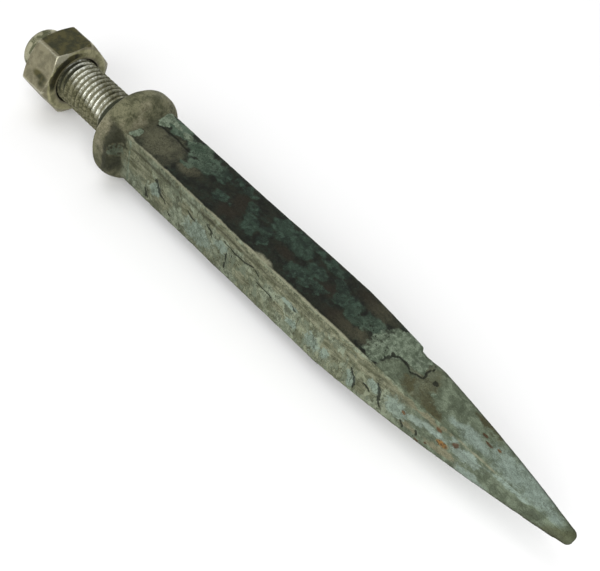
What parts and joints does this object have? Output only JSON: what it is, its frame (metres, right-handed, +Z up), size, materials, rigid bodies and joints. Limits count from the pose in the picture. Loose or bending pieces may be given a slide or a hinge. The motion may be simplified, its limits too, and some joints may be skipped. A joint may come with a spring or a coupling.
{
  "type": "threaded ground spike",
  "caption": "Forged square spike with a drawn-out point, a round collar and a threaded stud with a hex nut, for bolting through a frame or bracket.",
  "frame": {"origin": "centre of the collar's flat seat, on the stud's side", "axes": "+X along the spike's axis towards its point, +Z up out of one face of the square shank, with the spike lying down"},
  "size_m": [0.235, 0.032, 0.032],
  "materials": {
    "forged_steel": "forged steel with dark green-grey scale, worn bright along its edges, rust specks near the point, and a bare bright thread",
    "nut_steel": "oiled bare steel, olive to warm grey, bright on its worn edges"
  },
  "bodies": {
    "spike": {"forged_spike": "forged_steel"},
    "nut_carrier": {"nut_end_face": "nut_steel"},
    "nut": {"hex_nut": "nut_steel"}
  },
  "joints": [
    {"name": "nut_travel", "type": "slide", "parent": "spike", "child": "nut_carrier", "axis": [-1, 0, 0], "range_m": [-0.022, 0.022]},
    {"name": "nut_turn", "type": "hinge", "parent": "nut_carrier", "child": "nut", "pos_m": [-0.0335, 0, 0], "axis": [-1, 0, 0], "range_deg": [-3960, 3960]}
  ],
  "couplings": [
    {"joint": "nut_travel", "follows": "nut_turn", "m_per_rad": 0.00031831}
  ]
}
